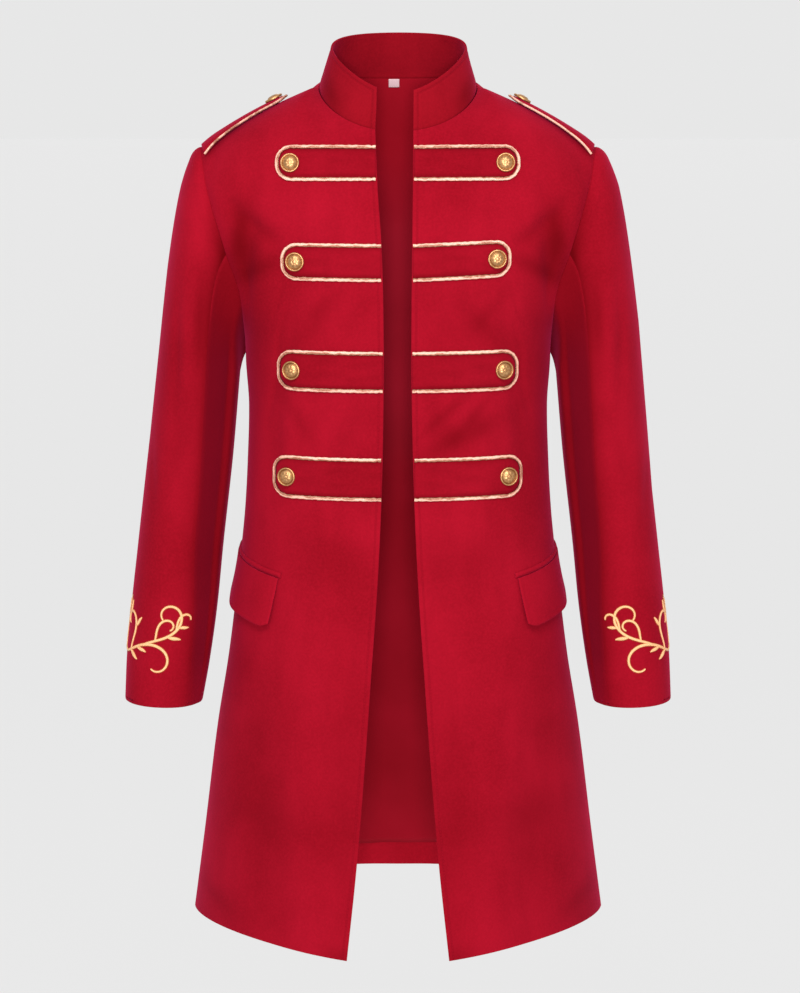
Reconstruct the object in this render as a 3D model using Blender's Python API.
"""Military-style coat: a knee-length frock coat worn open, hollow, in its worn form.

Metres, +Z up. The wearer faces -Y, so the wearer's right side is at -X.
The origin is the middle of the neck opening, level with the shoulder seams' neck ends.
Every piece of cloth is a wall: its outer points come from the sections below, and its inner points
are the same points moved in along the surface. What lies on a panel is made from the panel's points,
moved out.
"""

import math
from collections import namedtuple

import bmesh
import bpy
from mathutils import Matrix, Vector

# Cloth and seams
CLOTH = 0.0020
COLLAR_CLOTH = 0.0030
LINING_CLOTH = 0.0010
SEAM = 0.0003
PROBE = 0.001

# Body sections from hem to shoulder: half width, depth to the front and back, how square the plan is
# (2 is an ellipse), how far round the arm edge lies (90 is the side seam), how far the section rises
# between its ends, and how the points crowd to the arm.
Section = namedtuple("Section", "level half front back front_n back_n arm_turn rise crowd")
BODY = [
    Section(-0.934, 0.2348, 0.182, 0.163, 1.75, 2.10, 90.0, 0.000, 1.00),
    Section(-0.845, 0.2226, 0.165, 0.150, 1.85, 2.10, 90.0, 0.000, 1.00),
    Section(-0.716, 0.2058, 0.144, 0.131, 1.95, 2.15, 90.0, 0.000, 1.00),
    Section(-0.636, 0.1925, 0.132, 0.119, 2.10, 2.20, 90.0, 0.000, 1.00),
    Section(-0.570, 0.1838, 0.124, 0.109, 2.20, 2.20, 90.0, 0.000, 1.00),
    Section(-0.5175, 0.1776, 0.119, 0.101, 2.20, 2.20, 90.0, 0.000, 1.00),
    Section(-0.467, 0.1724, 0.116, 0.095, 2.25, 2.25, 90.0, 0.000, 1.00),
    Section(-0.420, 0.1695, 0.115, 0.092, 2.25, 2.30, 90.0, 0.000, 1.00),
    Section(-0.353, 0.1672, 0.117, 0.096, 2.30, 2.30, 90.0, 0.000, 1.00),
    Section(-0.295, 0.1704, 0.1185, 0.104, 2.30, 2.30, 90.0, 0.000, 1.00),
    Section(-0.235, 0.1850, 0.116, 0.110, 2.30, 2.30, 68.0, 0.000, 1.02),
    Section(-0.170, 0.2175, 0.109, 0.112, 2.30, 2.30, 60.0, 0.006, 1.08),
    Section(-0.108, 0.2270, 0.096, 0.104, 2.30, 2.30, 66.0, 0.022, 1.18),
]
TOP_LEVEL = -0.040
UNDERARM_LEVEL = -0.295
HEM_DIP = 0.0145

# Front edges: distance from the middle of the coat, on the wearer's right and left
Edge = namedtuple("Edge", "level right left")
FRONT_EDGE = [
    Edge(-0.934, 0.0562, 0.0562),
    Edge(-0.838, 0.0449, 0.0446),
    Edge(-0.655, 0.0306, 0.0299),
    Edge(-0.512, 0.0208, 0.0204),
    Edge(-0.400, 0.0165, 0.0161),
    Edge(-0.283, 0.0151, 0.0142),
    Edge(-0.169, 0.0176, 0.0152),
    Edge(-0.110, 0.0216, 0.0158),
    Edge(-0.040, 0.0245, 0.0165),
]

# Neck opening and collar. Heights on the neck and along the collar's top follow a parabola in depth.
NECK_HALF = 0.0875
NECK_FRONT = 0.080
NECK_BACK = 0.070
NECK_N = 2.2
NECK_RISE = (0.0, 0.35, -3.1)
COLLAR_HALF = 0.0725
COLLAR_FRONT = 0.072
COLLAR_BACK = 0.057
COLLAR_N = 2.0
COLLAR_SWELL = -0.0010
COLLAR_EDGE = (0.0238, 0.0152)
COLLAR_RISE = (0.0375, 0.472, -1.82)
NECK_SHARE = 5 / 12
NECK_FLARE = 1.1
SHOULDER_POINT = Vector((0.2185, -0.004, -0.066))
SHOULDER_ARCH = 0.004

# Sleeve sections from upper arm to cuff: outer and inner edge, depth, middle, and the seams' angle
# measured from the outer edge. Between the seams the under sleeve is flattened, in front and behind.
Arm = namedtuple("Arm", "step out_x out_z in_x in_z depth middle seam")
ARM = [
    Arm(1.0, 0.2661, -0.2905, 0.1775, -0.3200, 0.071, 0.000, 104.0),
    Arm(2.0, 0.2805, -0.3987, 0.1858, -0.4080, 0.067, 0.004, 109.0),
    Arm(3.0, 0.2937, -0.5083, 0.1980, -0.5140, 0.062, -0.001, 114.0),
    Arm(4.0, 0.3011, -0.5740, 0.2045, -0.5790, 0.058, -0.009, 121.0),
    Arm(5.0, 0.3072, -0.6400, 0.2135, -0.6430, 0.054, -0.018, 128.0),
    Arm(5.7, 0.3088, -0.6835, 0.2215, -0.6870, 0.051, -0.025, 132.0),
]
CAP_SEAM = 100.0
ARM_N = 2.1
UNDER_FLAT = (0.85, 0.45)
ARMHOLE_GAP = 0.0006

# Soft folds: where, which way, how long, wide and deep. They lie on both fronts.
Fold = namedtuple("Fold", "x z angle length width depth")
FRONT_FOLDS = [
    Fold(0.166, -0.190, 96.0, 0.060, 0.011, -0.0045),
    Fold(0.126, -0.300, 100.0, 0.070, 0.012, -0.0022),
    Fold(0.136, -0.390, 96.0, 0.050, 0.012, -0.0022),
    Fold(0.048, -0.250, -54.0, 0.032, 0.012, -0.0020),
    Fold(0.080, -0.250, -52.0, 0.034, 0.012, -0.0018),
    Fold(0.050, -0.368, -54.0, 0.030, 0.013, -0.0022),
    Fold(0.094, -0.368, -52.0, 0.030, 0.012, -0.0018),
    Fold(0.060, -0.780, 93.0, 0.140, 0.030, -0.0030),
    Fold(0.150, -0.800, 86.0, 0.130, 0.030, -0.0030),
]
BACK_FOLDS = [
    Fold(0.160, -0.190, 96.0, 0.060, 0.011, -0.0045),
    Fold(0.105, -0.400, 94.0, 0.070, 0.014, -0.0025),
    Fold(0.045, -0.460, -50.0, 0.032, 0.014, -0.0020),
    Fold(0.000, -0.780, 90.0, 0.150, 0.028, -0.0035),
    Fold(0.120, -0.790, 88.0, 0.140, 0.030, -0.0030),
]

# Straps across the fronts: top and bottom at the front edge, how far the outer end stands higher on
# the wearer's right and left, where the outer end lies on each side, and the button's inset from it
Strap = namedtuple("Strap", "top bottom rise_right rise_left end_right end_left button")
STRAPS = [
    Strap(-0.0676, -0.0970, 0.0000, 0.0005, 0.1280, 0.1275, 0.0120),
    Strap(-0.1722, -0.2040, 0.0010, 0.0045, 0.1222, 0.1178, 0.0115),
    Strap(-0.2872, -0.3232, 0.0000, 0.0005, 0.1270, 0.1265, 0.0125),
    Strap(-0.4034, -0.4420, 0.0000, 0.0005, 0.1328, 0.1318, 0.0120),
]
STRAP_EDGE = 0.0012
STRAP_CORNER = 0.0105
STRAP_LIFT = 0.0008
STRAP_CLOTH = 0.0016
PIPING_RADIUS = 0.0019
PIPING_GAP = 0.0004
BUTTON_RADIUS = 0.0108
BUTTON_HEIGHT = 0.0052

# Pocket: turns round the body (90 is the side seam), heights of its corners, and how far it stands off
FLAP_TURNS = (44.9, 96.0)
FLAP_TOP = (-0.5362, -0.5155)
FLAP_DROP = 0.0565
FLAP_SLANT = 2.0
FLAP_CORNER = 0.006
FLAP_CLOTH = 0.0022
FLAP_SEAT = 0.0010
FLAP_STAND = 0.0044
WELT_HEIGHT = 0.0060
WELT_CLOTH = 0.0016

# Shoulder strap: along the shoulder, across it, and its standing height
EPAULETTE_REACH = (0.1240, 0.2165)
EPAULETTE_HALF = (0.0185, 0.0255)
EPAULETTE_POINT = 0.016
EPAULETTE_CLOTH = 0.0024
EPAULETTE_STAND = (0.0024, 0.0008)
EPAULETTE_ROUND = 5.0
EPAULETTE_BUTTON = 0.1340
EPAULETTE_PIPING = 0.0014

# Lining and label inside the back
LINING_HEM = -0.905
LINING_GAP = 0.0005
LABEL_REACH = (-0.0108, 0.0014)
LABEL_DROP = (0.010, 0.165)
LABEL_CLOTH = 0.0005

# Counts of points
COLUMNS = 12
STRAP_COLUMNS = 7
COLLAR_COLUMNS = 13
COLLAR_ROWS = 3
SKIRT_ROWS = 13
CHEST_ROWS = 8
SLEEVE_ROWS = 16
UPPER_COLUMNS = 12
UNDER_COLUMNS = 8

SIDES = (("right", -1), ("left", 1))

FINISH = {
    "wool": ((0.46, 0.006, 0.020), 0.75, 0.0),
    "collar": ((0.36, 0.006, 0.018), 0.75, 0.0),
    "lining": ((0.27, 0.004, 0.032), 0.40, 0.0),
    "piping": ((0.80, 0.46, 0.20), 0.40, 0.6),
    "brass": ((0.72, 0.46, 0.14), 0.30, 1.0),
    "label": ((0.80, 0.80, 0.80), 0.80, 0.0),
}


# Interpolation

def knot_slope(knots, values, k, end_slope):
    """The slope at a knot: level where the values turn back, so that no curve overshoots."""
    last = len(knots) - 1
    if k == 0:
        return (values[1] - values[0]) / (knots[1] - knots[0])
    before = knots[k] - knots[k - 1]
    rise_before = (values[k] - values[k - 1]) / before
    if k == last:
        return rise_before if end_slope is None else end_slope
    after = knots[k + 1] - knots[k]
    rise_after = (values[k + 1] - values[k]) / after
    if rise_before * rise_after <= 0:
        return 0.0
    near = 2 * after + before
    far = after + 2 * before
    return (near + far) / (near / rise_before + far / rise_after)


def cubic(knots, values, at, end_slope=None):
    """A smooth curve through values at rising knots; end_slope fixes its slope at the last one."""
    i = 0
    while i < len(knots) - 2 and at > knots[i + 1]:
        i += 1
    span = knots[i + 1] - knots[i]
    s = (at - knots[i]) / span
    rise = values[i + 1] - values[i]
    start = knot_slope(knots, values, i, end_slope) * span
    stop = knot_slope(knots, values, i + 1, end_slope) * span
    return values[i] + s * start + s * s * (3 * rise - 2 * start - stop) + s ** 3 * (start + stop - 2 * rise)


def column(rows, name, at):
    """The value of one named column of a table, read smoothly at a level."""
    return cubic([row[0] for row in rows], [getattr(row, name) for row in rows], at)


def curved(share, n):
    """Sine and cosine of a quarter turn's share in degrees, squared off to exponent n."""
    angle = math.radians(share)
    return abs(math.sin(angle)) ** (2 / n), abs(math.cos(angle)) ** (2 / n)


# Body surface

def ring_point(turn, half, front, back, n, rise):
    """A point of the neck ring or the collar's top: turn 0 is front middle, 180 the nape."""
    across, along = curved(turn, n)
    y = -front * along if turn < 90 else back * along
    return Vector((half * across, y, rise[0] + rise[1] * y + rise[2] * y * y))


def neck_point(turn):
    return ring_point(turn, NECK_HALF, NECK_FRONT, NECK_BACK, NECK_N, NECK_RISE)


def collar_point(side, turn):
    """The collar's top edge over a turn of the neck; its front corners have their own place."""
    base = edge_turn(side, TOP_LEVEL, NECK_HALF, NECK_N)
    corner = math.degrees(math.asin((COLLAR_EDGE[side > 0] / COLLAR_HALF) ** (COLLAR_N / 2)))
    turn = 180.0 - (180.0 - corner) * (180.0 - turn) / (180.0 - base)
    return ring_point(turn, COLLAR_HALF, COLLAR_FRONT, COLLAR_BACK, COLLAR_N, COLLAR_RISE)


def edge_at(side, level):
    return column(FRONT_EDGE, "right" if side < 0 else "left", level)


def edge_turn(side, level, half, n):
    """The turn at which a section's point lies on the front edge."""
    return math.degrees(math.asin((edge_at(side, level) / half) ** (n / 2)))


def section_point(face, side, u, section):
    """A point of one body section: u runs from the front edge, or the back's middle, to the arm."""
    n = section.front_n if face == "front" else section.back_n
    start = edge_turn(side, section.level, section.half, n) if face == "front" else 0.0
    turn = start + (section.arm_turn - start) * u ** section.crowd
    across, along = curved(turn, n)
    depth = -section.front if face == "front" else section.back
    z = section.level + section.rise * math.sin(math.pi * u)
    if section is BODY[0] and face == "front":
        z -= HEM_DIP * math.cos(math.radians(turn)) ** 4
    return Vector((section.half * across, depth * along, z))


def top_point(face, side, u):
    """A point of the panel's top edge: the neckline, then the shoulder seam."""
    neck_side = neck_point(90.0)
    if u <= NECK_SHARE:
        share = u / NECK_SHARE
        if face == "back":
            turn = 180.0 - 90.0 * share
        else:
            start = edge_turn(side, TOP_LEVEL, NECK_HALF, NECK_N)
            turn = start + (90.0 - start) * share
        return neck_point(turn)
    share = (u - NECK_SHARE) / (1 - NECK_SHARE)
    point = neck_side.lerp(SHOULDER_POINT, share)
    point.z += SHOULDER_ARCH * math.sin(math.pi * share)
    return point


def body_base(face, side, u, level):
    """The smooth body without folds, on the +X half."""
    knots = [section.level for section in BODY] + [TOP_LEVEL]
    points = [section_point(face, side, u, section) for section in BODY]
    points.append(top_point(face, side, u))
    chord = (points[-1] - points[-2]) / (knots[-1] - knots[-2])
    over = min(u / NECK_SHARE, 1.0) ** 2
    flare = NECK_FLARE * min(u / NECK_SHARE, (1.0 - u) / (1.0 - NECK_SHARE)) ** 2
    end = Vector((chord.x - flare, chord.y * (1.0 + 0.6 * over), chord.z * (1.0 - 0.85 * over)))
    return Vector([cubic(knots, [point[i] for point in points], level, end[i]) for i in range(3)])


def fold_depth(folds, x, z):
    """How far the soft folds push the surface at a place."""
    total = 0.0
    for fold in folds:
        angle = math.radians(fold.angle)
        dx = x - fold.x
        dz = z - fold.z
        along = dx * math.cos(angle) + dz * math.sin(angle)
        across = -dx * math.sin(angle) + dz * math.cos(angle)
        total += fold.depth * math.exp(-((along / fold.length) ** 2) - (across / fold.width) ** 2)
    return total


def body(face, side, u, level):
    """Outer point and outward normal of a body panel."""
    on_shoulder = u > NECK_SHARE - PROBE and level > TOP_LEVEL - PROBE
    on_side_seam = u > 1 - PROBE and level < UNDERARM_LEVEL + PROBE
    low_u = max(u - PROBE, 0.0)
    high_u = min(u + PROBE, 1.0)
    low = max(level - PROBE, BODY[0].level)
    high = min(level + PROBE, UNDERARM_LEVEL if on_side_seam else TOP_LEVEL)
    across = body_base(face, side, high_u, level) - body_base(face, side, low_u, level)
    up = body_base(face, side, u, high) - body_base(face, side, u, low)
    normal = across.cross(up)
    if face == "back":
        normal.negate()
    if on_shoulder:
        normal = Vector((-SHOULDER_POINT.z, 0.0, SHOULDER_POINT.x - NECK_HALF))
    if on_side_seam:
        normal = Vector((up.z, 0.0, -up.x))
    if face == "back" and u < PROBE:
        normal.x = 0.0
    normal.normalize()
    point = body_base(face, side, u, level)
    folds = FRONT_FOLDS if face == "front" else BACK_FOLDS
    fade = min(1.0, (1.0 - u) * 8.0) * min(1.0, (TOP_LEVEL - level) * 30.0)
    point += normal * fold_depth(folds, point.x, point.z) * fade
    if on_side_seam or on_shoulder:
        point.y += -SEAM / 2 if face == "front" else SEAM / 2
    point.x *= side
    normal.x *= side
    return point, normal


def find(face, side, first, second, axes, start):
    """The panel's u and level where two of its coordinates have these values."""
    u, level = start
    i, j = axes
    for _ in range(30):
        here = body_base(face, side, u, level)
        du = (body_base(face, side, u + PROBE, level) - here) / PROBE
        dl = (body_base(face, side, u, level + PROBE) - here) / PROBE
        gap_i = first - here[i]
        gap_j = second - here[j]
        det = du[i] * dl[j] - du[j] * dl[i]
        u = min(max(u + (gap_i * dl[j] - gap_j * dl[i]) / det, 0.0), 1.0 - PROBE)
        level = min(max(level + (gap_j * du[i] - gap_i * du[j]) / det, BODY[0].level), TOP_LEVEL - PROBE)
    return u, level


def on_front(side, x, z, lift=0.0):
    """The point of a front at distance x from the middle and height z, lifted off the cloth."""
    u, level = find("front", side, x, z, (0, 2), (0.5, z))
    point, normal = body("front", side, u, level)
    return point + normal * lift, normal


def on_skirt(side, turn, z, lift=0.0):
    """The point at a turn round the body below the underarm, from either panel."""
    face = "front" if turn <= 90 else "back"
    if face == "front":
        n = column(BODY, "front_n", z)
        start = edge_turn(side, z, column(BODY, "half", z), n)
        u = (turn - start) / (90.0 - start)
    else:
        u = (180.0 - turn) / 90.0
    point, normal = body(face, side, min(u, 1.0), z)
    return point + normal * lift, normal


# Meshes

def material(name):
    found = bpy.data.materials.get(name)
    if found:
        return found
    color, roughness, metallic = FINISH[name]
    made = bpy.data.materials.new(name)
    made.use_nodes = True
    shader = made.node_tree.nodes["Principled BSDF"]
    shader.inputs["Base Color"].default_value = (*color, 1.0)
    shader.inputs["Roughness"].default_value = roughness
    shader.inputs["Metallic"].default_value = metallic
    return made


def add(name, data, finish):
    data.materials.append(material(finish))
    made = bpy.data.objects.new(name, data)
    bpy.context.scene.collection.objects.link(made)
    return made


def mesh_from(bm, name, finish):
    bmesh.ops.recalc_face_normals(bm, faces=bm.faces)
    mesh = bpy.data.meshes.new(name)
    bm.to_mesh(mesh)
    bm.free()
    mesh.shade_smooth()
    mesh.set_sharp_from_angle(angle=math.radians(40))
    return add(name, mesh, finish)


def wall(name, finish, grid, low, high):
    """A closed wall over a grid of (point, normal): its sides lie low and high off the points."""
    bm = bmesh.new()
    outer = [[bm.verts.new(p + n * high) for p, n in row] for row in grid]
    inner = [[bm.verts.new(p + n * low) for p, n in row] for row in grid]
    rows = len(grid)
    columns = len(grid[0])
    for r in range(rows - 1):
        for c in range(columns - 1):
            bm.faces.new((outer[r][c], outer[r][c + 1], outer[r + 1][c + 1], outer[r + 1][c]))
            bm.faces.new((inner[r][c], inner[r + 1][c], inner[r + 1][c + 1], inner[r][c + 1]))
    rim = [(0, c) for c in range(columns)]
    rim += [(r, columns - 1) for r in range(1, rows)]
    rim += [(rows - 1, c) for c in range(columns - 2, -1, -1)]
    rim += [(r, 0) for r in range(rows - 2, 0, -1)]
    for (r, c), (r2, c2) in zip(rim, rim[1:] + rim[:1]):
        bm.faces.new((outer[r][c], inner[r][c], inner[r2][c2], outer[r2][c2]))
    return mesh_from(bm, name, finish)


def cord(name, finish, points, radius):
    """A round cord along points, with closed ends."""
    data = bpy.data.curves.new(name, "CURVE")
    data.dimensions = "3D"
    data.bevel_depth = radius
    data.bevel_resolution = 1
    data.use_fill_caps = True
    spline = data.splines.new("POLY")
    spline.points.add(len(points) - 1)
    for slot, point in zip(spline.points, points):
        slot.co = (*point, 1.0)
    return add(name, data, finish)


def button(name, center, normal):
    """A domed button with a rolled rim, turned about its own axis and set on the cloth."""
    profile = [
        (0.55, 0.00),
        (0.92, 0.04),
        (1.00, 0.28),
        (0.93, 0.50),
        (0.70, 0.62),
        (0.38, 0.93),
    ]
    bm = bmesh.new()
    verts = [bm.verts.new((BUTTON_RADIUS * r, 0.0, BUTTON_HEIGHT * h)) for r, h in profile]
    edges = [bm.edges.new(pair) for pair in zip(verts, verts[1:])]
    bmesh.ops.spin(
        bm, geom=verts + edges, cent=(0, 0, 0), axis=(0, 0, 1), angle=2 * math.pi, steps=14, use_merge=True
    )
    bmesh.ops.remove_doubles(bm, verts=bm.verts, dist=1e-6)
    bmesh.ops.holes_fill(bm, edges=bm.edges, sides=0)
    place = Vector((0, 0, 1)).rotation_difference(normal).to_matrix().to_4x4()
    bmesh.ops.transform(bm, matrix=Matrix.Translation(center) @ place, verts=bm.verts)
    return mesh_from(bm, name, "brass")


# Body panels

def levels():
    """Body levels from hem to top, with the lining's hem and the underarm among them."""
    low = [LINING_HEM + (UNDERARM_LEVEL - LINING_HEM) * k / SKIRT_ROWS for k in range(SKIRT_ROWS)]
    high = [UNDERARM_LEVEL + (TOP_LEVEL - UNDERARM_LEVEL) * k / CHEST_ROWS for k in range(CHEST_ROWS + 1)]
    return [BODY[0].level] + low + high


def make_fronts():
    for name, side in SIDES:
        grid = []
        for level in levels():
            grid.append([body("front", side, k / COLUMNS, level) for k in range(COLUMNS + 1)])
        wall(f"{name}_front", "wool", grid, -CLOTH, 0.0)


def back_row(level, columns=COLUMNS):
    """Points of the back from the wearer's right to left, out to a number of columns each way."""
    right = [body("back", -1, k / COLUMNS, level) for k in range(columns, 0, -1)]
    left = [body("back", 1, k / COLUMNS, level) for k in range(columns + 1)]
    return right + left


def make_back():
    wall("back", "wool", [back_row(level) for level in levels()], -CLOTH, 0.0)


def collar_place(side, turn, share):
    """Outer point and normal of the collar: share 0 is the neck seam, 1 the top edge."""
    low = neck_point(turn)
    rise = collar_point(side, turn) - low
    around = neck_point(min(turn + 1.0, 180.0)) - neck_point(max(turn - 1.0, 0.0))
    if turn > 179.0:
        around = Vector((-1.0, 0.0, 0.0))
    out = rise.cross(around).normalized()
    point = low + rise.normalized() * (2 * SEAM) + rise * share
    point += out * (COLLAR_SWELL * math.sin(math.pi * share))
    return Vector((point.x * side, point.y, point.z)), Vector((out.x * side, out.y, out.z))


def make_collar():
    grid = []
    for r in range(COLLAR_ROWS + 1):
        row = []
        for name, side in SIDES:
            start = edge_turn(side, TOP_LEVEL, NECK_HALF, NECK_N)
            turns = [start + (180.0 - start) * k / COLLAR_COLUMNS for k in range(COLLAR_COLUMNS + 1)]
            if side > 0:
                turns = turns[-2::-1]
            row += [collar_place(side, turn, r / COLLAR_ROWS) for turn in turns]
        grid.append(row)
    wall("collar", "collar", grid, -COLLAR_CLOTH, 0.0)


# Sleeves

def arm_oval(step, turn):
    """A point of an arm section: turn 0 is the outer edge, 90 the front, 180 the inner edge."""
    outer = Vector((column(ARM, "out_x", step), 0.0, column(ARM, "out_z", step)))
    inner = Vector((column(ARM, "in_x", step), 0.0, column(ARM, "in_z", step)))
    angle = math.radians(turn)
    across = math.copysign(abs(math.cos(angle)) ** (2 / ARM_N), math.cos(angle))
    forward = math.copysign(abs(math.sin(angle)) ** (2 / ARM_N), math.sin(angle))
    point = (outer + inner) / 2 + (outer - inner) / 2 * across
    point.y = column(ARM, "middle", step) - column(ARM, "depth", step) * forward
    return point


def arm_ring(step, turn):
    """The oval, flattened between the seams so that the under sleeve turns away sharply there."""
    point = arm_oval(step, turn)
    seam = seam_turn(step)
    if abs(turn) <= seam:
        return point
    corner = arm_oval(step, math.copysign(seam, turn))
    inner = arm_oval(step, 180.0)
    share = (corner.x - point.x) / (corner.x - inner.x)
    flat = UNDER_FLAT[turn < 0] * min(1.0, 3.0 * (1.0 - share))
    return point.lerp(corner.lerp(inner, share), flat)


def armhole(turn):
    """The body's arm edge at a turn from the shoulder point, forward positive."""
    face = "front" if turn >= 0 else "back"
    level = TOP_LEVEL + (UNDERARM_LEVEL - TOP_LEVEL) * abs(turn) / 180.0
    point = body_base(face, 1, 1.0, level)
    return point + Vector((ARMHOLE_GAP, 0.0, 0.0))


def sleeve_base(step, turn):
    """The smooth sleeve: step 0 is the armhole, 1 the upper arm, the last the cuff."""
    if step >= 1.0:
        return arm_ring(step, turn)
    start = armhole(turn)
    stop = arm_ring(1.0, turn)
    reach = (stop - start).length
    angle = math.radians(turn)
    low = (1 - math.cos(angle)) / 2
    leave = Vector((1 - 0.4 * low, -0.35 * math.sin(angle), -0.3 - 0.6 * low)).normalized()
    arrive = (arm_ring(1.1, turn) - arm_ring(1.0, turn)).normalized()
    leave *= reach * (0.32 + 0.48 * low)
    arrive *= reach
    s = step
    a = 2 * s ** 3 - 3 * s ** 2 + 1
    b = s ** 3 - 2 * s ** 2 + s
    c = 3 * s ** 2 - 2 * s ** 3
    d = s ** 3 - s ** 2
    return start * a + leave * b + stop * c + arrive * d


def sleeve(side, step, turn, shift=0.0):
    """Outer point and normal of a sleeve; shift moves it along the ring, away from a seam."""
    last = ARM[-1].step
    around = sleeve_base(step, turn + 1.0) - sleeve_base(step, turn - 1.0)
    low = max(step - 0.01, 0.0)
    high = min(step + 0.01, last)
    down = sleeve_base(high, turn) - sleeve_base(low, turn)
    normal = down.cross(around).normalized()
    middle = (sleeve_base(step, 0.0) + sleeve_base(step, 180.0)) / 2
    point = sleeve_base(step, turn)
    if normal.dot(point - middle) < 0:
        normal.negate()
    point = point + around.normalized() * shift
    return Vector((point.x * side, point.y, point.z)), Vector((normal.x * side, normal.y, normal.z))


def seam_turn(step):
    if step >= 1.0:
        return column(ARM, "seam", step)
    return CAP_SEAM + (ARM[0].seam - CAP_SEAM) * step


def sleeve_steps():
    cap = 6
    arm = SLEEVE_ROWS - cap
    steps = [k / cap for k in range(cap)]
    return steps + [1.0 + (ARM[-1].step - 1.0) * k / arm for k in range(arm + 1)]


def make_sleeves():
    for name, side in SIDES:
        upper = []
        under = []
        for step in sleeve_steps():
            seam = seam_turn(step)
            row = []
            for k in range(UPPER_COLUMNS + 1):
                share = 2 * k / UPPER_COLUMNS - 1
                shift = -SEAM / 2 * (k == UPPER_COLUMNS) + SEAM / 2 * (k == 0)
                row.append(sleeve(side, step, seam * share, shift))
            upper.append(row)
            row = []
            for k in range(UNDER_COLUMNS + 1):
                turn = seam + (360.0 - 2 * seam) * k / UNDER_COLUMNS
                shift = SEAM / 2 * (k == 0) - SEAM / 2 * (k == UNDER_COLUMNS)
                row.append(sleeve(side, step, turn if turn <= 180.0 else turn - 360.0, shift))
            under.append(row)
        wall(f"{name}_upper_sleeve", "wool", upper, -CLOTH, 0.0)
        wall(f"{name}_under_sleeve", "wool", under, -CLOTH, 0.0)


# Straps, piping and buttons

def strap_half(strap, end, margin, x):
    """Half height of a strap with rounded outer corners at a distance from the middle, plus a margin."""
    half = (strap.top - strap.bottom) / 2 + margin
    corner = STRAP_CORNER + margin
    rest = end + margin - x
    if rest >= corner:
        return half
    return half - corner + math.sqrt(max(corner ** 2 - (corner - rest) ** 2, 0.0))


def strap_stations(start, end, margin):
    """Distances from the middle along a strap, closer together round its corners."""
    corner = STRAP_CORNER + margin
    turn = end + margin - corner
    straight = [start + (turn - start) * k / STRAP_COLUMNS for k in range(STRAP_COLUMNS)]
    return straight + [turn + corner * math.sin(math.radians(30.0 * k)) for k in range(4)]


def make_straps():
    for name, side in SIDES:
        for number, strap in enumerate(STRAPS, 1):
            middle = (strap.top + strap.bottom) / 2
            end = strap.end_right if side < 0 else strap.end_left
            rise = strap.rise_right if side < 0 else strap.rise_left
            start = edge_at(side, middle) + STRAP_EDGE

            def place(x, height, lift=0.0):
                return on_front(side, x, middle + height + rise * (x - start) / (end - start), lift)

            grid = []
            for x in strap_stations(start, end, 0.0):
                half = strap_half(strap, end, 0.0, x)
                grid.append([place(x, half * across) for across in (-1.0, 0.0, 1.0)])
            wall(f"{name}_strap_{number}", "wool", grid, STRAP_LIFT, STRAP_LIFT + STRAP_CLOTH)

            margin = PIPING_GAP + PIPING_RADIUS
            lift = PIPING_RADIUS + STRAP_LIFT
            stations = strap_stations(start, end, margin)
            above = [place(x, strap_half(strap, end, margin, x), lift)[0] for x in stations]
            below = [place(x, -strap_half(strap, end, margin, x), lift)[0] for x in reversed(stations)]
            cord(f"{name}_piping_{number}", "piping", above + below, PIPING_RADIUS)

            point, normal = place(end - strap.button, 0.0, STRAP_LIFT + STRAP_CLOTH + SEAM)
            button(f"{name}_button_{number}", point, normal)


# Pockets

def make_pockets():
    across = 9
    down = 4
    for name, side in SIDES:
        grid = []
        for r in range(down + 1):
            row = []
            for k in range(across + 1):
                share = k / across
                drop = r / down
                turn = FLAP_TURNS[0] + (FLAP_TURNS[1] - FLAP_TURNS[0]) * share + FLAP_SLANT * drop * (1 - share)
                top = FLAP_TOP[0] + (FLAP_TOP[1] - FLAP_TOP[0]) * share
                rest = min(k, across - k)
                lost = FLAP_CORNER * (1.0 if rest == 0 else 0.25 if rest == 1 else 0.0) * drop ** 3
                z = top - (FLAP_DROP - lost) * drop
                row.append(on_skirt(side, turn, z, FLAP_SEAT + FLAP_STAND * drop ** 1.3))
            grid.append(row)
        wall(f"{name}_pocket_flap", "wool", grid, 0.0, FLAP_CLOTH)
        grid = []
        for height in (SEAM * 2, WELT_HEIGHT / 2, WELT_HEIGHT):
            row = []
            for k in range(across + 1):
                share = k / across
                turn = FLAP_TURNS[0] + (FLAP_TURNS[1] - FLAP_TURNS[0]) * share - 1.0 * (1 - share)
                z = FLAP_TOP[0] + (FLAP_TOP[1] - FLAP_TOP[0]) * share + height
                row.append(on_skirt(side, turn, z))
            grid.append(row)
        wall(f"{name}_pocket_welt", "wool", grid, 2 * SEAM, 2 * SEAM + WELT_CLOTH)


# Shoulder straps

def epaulette_half(x):
    low, high = EPAULETTE_REACH
    share = (x - low) / (high - low)
    half = EPAULETTE_HALF[0] + (EPAULETTE_HALF[1] - EPAULETTE_HALF[0]) * share
    tip = x - low
    if tip < EPAULETTE_POINT:
        half *= math.sqrt(max(1 - (1 - tip / EPAULETTE_POINT) ** 2, 0.0)) * 0.7 + 0.3
    return half


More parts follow.
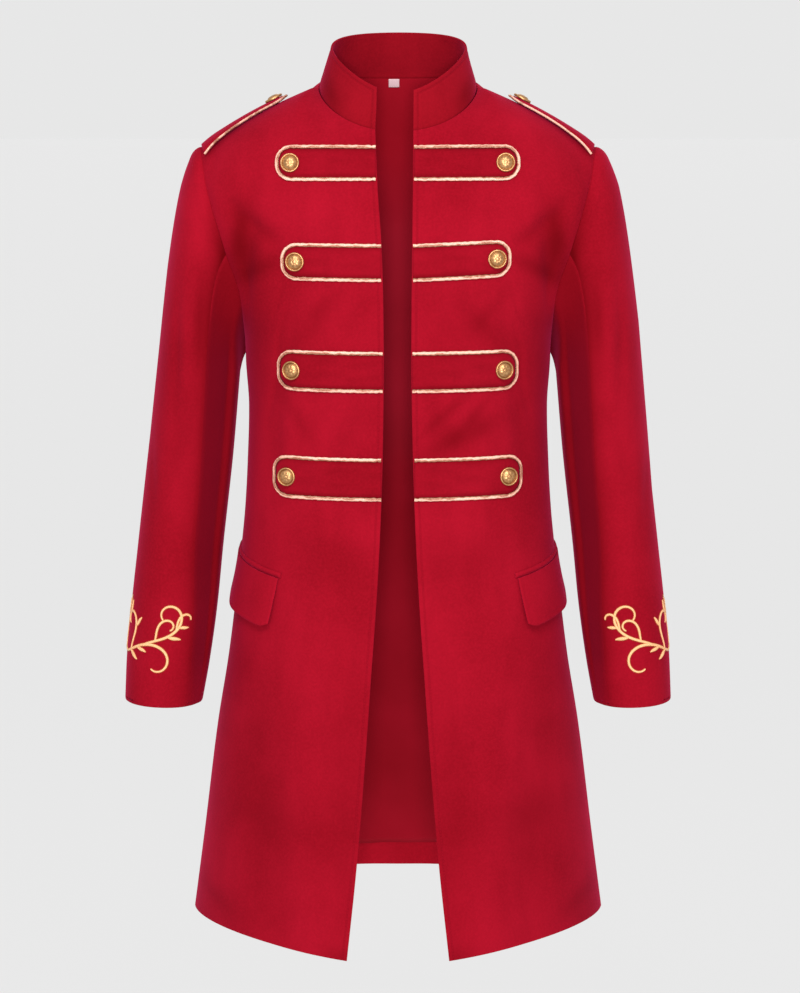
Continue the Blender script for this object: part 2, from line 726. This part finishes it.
def epaulette_point(side, x, across, lift):
    """A place on the shoulder strap, stiff enough to bridge the rounding of the shoulder."""
    low, high = EPAULETTE_REACH
    share = min(max((x - low) / (high - low), 0.0), 1.0)
    stand = EPAULETTE_STAND[0] + (EPAULETTE_STAND[1] - EPAULETTE_STAND[0]) * share ** 2
    along = (x - NECK_HALF) / (SHOULDER_POINT.x - NECK_HALF)
    point = top_point("front", 1, NECK_SHARE + (1 - NECK_SHARE) * min(along, 1.0))
    seam = Vector((-SHOULDER_POINT.z, 0.0, SHOULDER_POINT.x - NECK_HALF)).normalized()
    normal = (seam + Vector((0.0, 2 * EPAULETTE_ROUND * across, 0.0))).normalized()
    point += seam * (stand - EPAULETTE_ROUND * across ** 2) + normal * lift
    point.y += across
    return Vector((point.x * side, point.y, point.z)), Vector((normal.x * side, normal.y, normal.z))


def make_epaulettes():
    low, high = EPAULETTE_REACH
    stations = [low + (high - low) * share for share in (0.0, 0.05, 0.16, 0.36, 0.57, 0.78, 1.0)]
    for name, side in SIDES:
        grid = []
        for x in stations:
            half = epaulette_half(x)
            row = []
            for share in (-1.0, -0.5, 0.0, 0.5, 1.0):
                row.append(epaulette_point(side, x, half * share, 0.0))
            grid.append(row)
        wall(f"{name}_epaulette", "wool", grid, 0.0, EPAULETTE_CLOTH)
        gap = EPAULETTE_PIPING + 4 * SEAM
        lift = EPAULETTE_CLOTH / 2
        front = [epaulette_point(side, x, -epaulette_half(x) - gap, lift)[0] for x in reversed(stations[1:])]
        back = [epaulette_point(side, x, epaulette_half(x) + gap, lift)[0] for x in stations[1:]]
        tips = []
        for share in (-0.9, 0.0, 0.9):
            half = epaulette_half(low)
            tips.append(epaulette_point(side, low - gap * 1.3, half * share, lift)[0])
        cord(f"{name}_epaulette_piping", "piping", front + tips + back, EPAULETTE_PIPING)
        point, normal = epaulette_point(side, EPAULETTE_BUTTON, 0.0, EPAULETTE_CLOTH + 2 * SEAM)
        button(f"{name}_epaulette_button", point, normal)


# Lining and label

def lining_facet(x, drop):
    """Point and normal on the flat facet beside the nape; drop is the share of the topmost row."""
    side = -1 if x < 0 else 1
    ends = []
    for level in (TOP_LEVEL, levels()[-2]):
        middle, middle_normal = body("back", side, 0.0, level)
        next_point, next_normal = body("back", side, 1 / COLUMNS, level)
        share = abs(x / next_point.x)
        ends.append((middle.lerp(next_point, share), middle_normal.lerp(next_normal, share)))
    (top, top_normal), (bottom, bottom_normal) = ends
    return top.lerp(bottom, drop), top_normal.lerp(bottom_normal, drop).normalized()


def make_lining():
    grid = [back_row(level, COLUMNS - 1) for level in levels()[1:]]
    depth = CLOTH + LINING_GAP
    wall("back_lining", "lining", grid, -depth - LINING_CLOTH, -depth)
    grid = []
    for drop in LABEL_DROP:
        grid.append([lining_facet(x, drop) for x in (LABEL_REACH[0], 0.0, LABEL_REACH[1])])
    depth += LINING_CLOTH + SEAM
    wall("neck_label", "label", grid, -depth - LABEL_CLOTH, -depth)


def main():
    for found in list(bpy.data.objects):
        bpy.data.objects.remove(found)
    make_fronts()
    make_back()
    make_collar()
    make_sleeves()
    make_straps()
    make_pockets()
    make_epaulettes()
    make_lining()


main()
